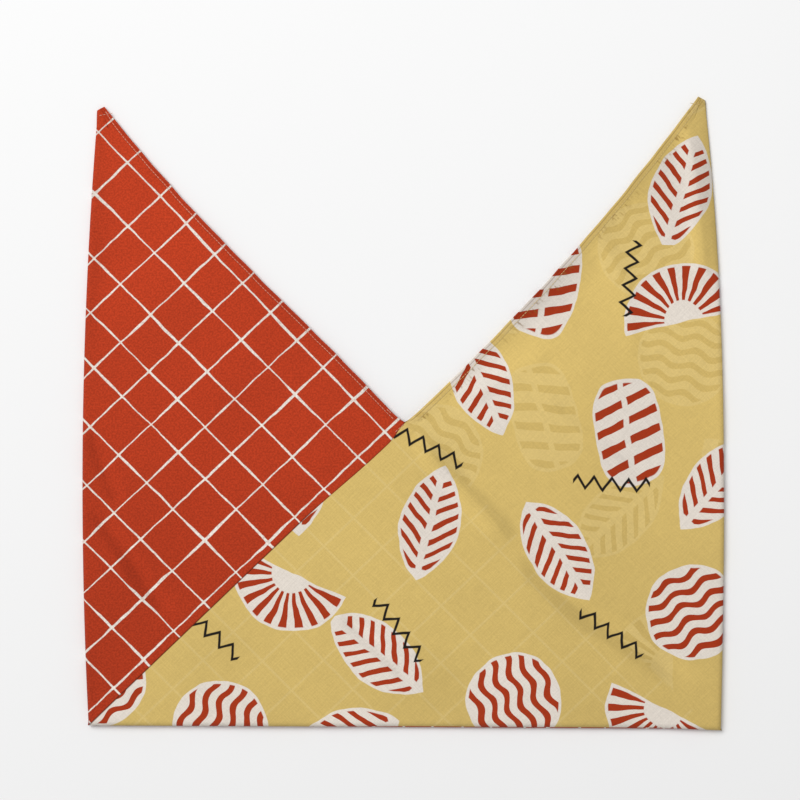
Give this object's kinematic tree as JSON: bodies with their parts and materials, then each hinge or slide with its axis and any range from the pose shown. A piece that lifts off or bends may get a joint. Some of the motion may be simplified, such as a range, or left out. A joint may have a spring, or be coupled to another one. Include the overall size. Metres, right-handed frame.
{
  "type": "azuma bag",
  "caption": "Folded cloth bag laid flat: a square pouch sewn from a red grid cloth and a yellow printed cloth, with a V mouth and hemmed ears that fold and tie as handles",
  "frame": {"origin": "on the surface that the bag lies on, under the middle of the flat square", "axes": "+Z out of the front face, square to the surface that the bag lies on; +Y from the bottom edge to the mouth; +X to the right when the front is seen"},
  "size_m": [0.5037, 0.4964, 0.0084],
  "materials": {
    "red_cotton": "matt woven cotton, brick red with an off-white hand-drawn windowpane grid",
    "yellow_cotton": "matt woven cotton, straw yellow with a printed pattern in off-white, brick red and black"
  },
  "bodies": {
    "pouch": {"red_cloth": "red_cotton", "yellow_cloth": "yellow_cotton", "front_seam": "yellow_cotton", "back_seam": "red_cotton", "bottom_seam": "red_cotton", "front_notch_lap": "red_cotton", "back_notch_lap": "yellow_cotton"},
    "left_ear": {"left_ear_cloth": "red_cotton", "left_ear_front_hem": "red_cotton", "left_ear_back_hem": "red_cotton", "left_ear_tip": "red_cotton"},
    "right_ear": {"right_ear_cloth": "yellow_cotton", "right_ear_front_hem": "yellow_cotton", "right_ear_back_hem": "yellow_cotton", "right_ear_tip": "yellow_cotton"}
  },
  "joints": [
    {"name": "left_ear_fold", "type": "hinge", "parent": "pouch", "child": "left_ear", "pos_m": [-0.13, 0.0004, 0.0086], "axis": [1, 0, 0], "range_deg": [0, 180]},
    {"name": "right_ear_fold", "type": "hinge", "parent": "pouch", "child": "right_ear", "pos_m": [0.13, 0.0004, 0.0086], "axis": [1, 0, 0], "range_deg": [0, 180]}
  ]
}
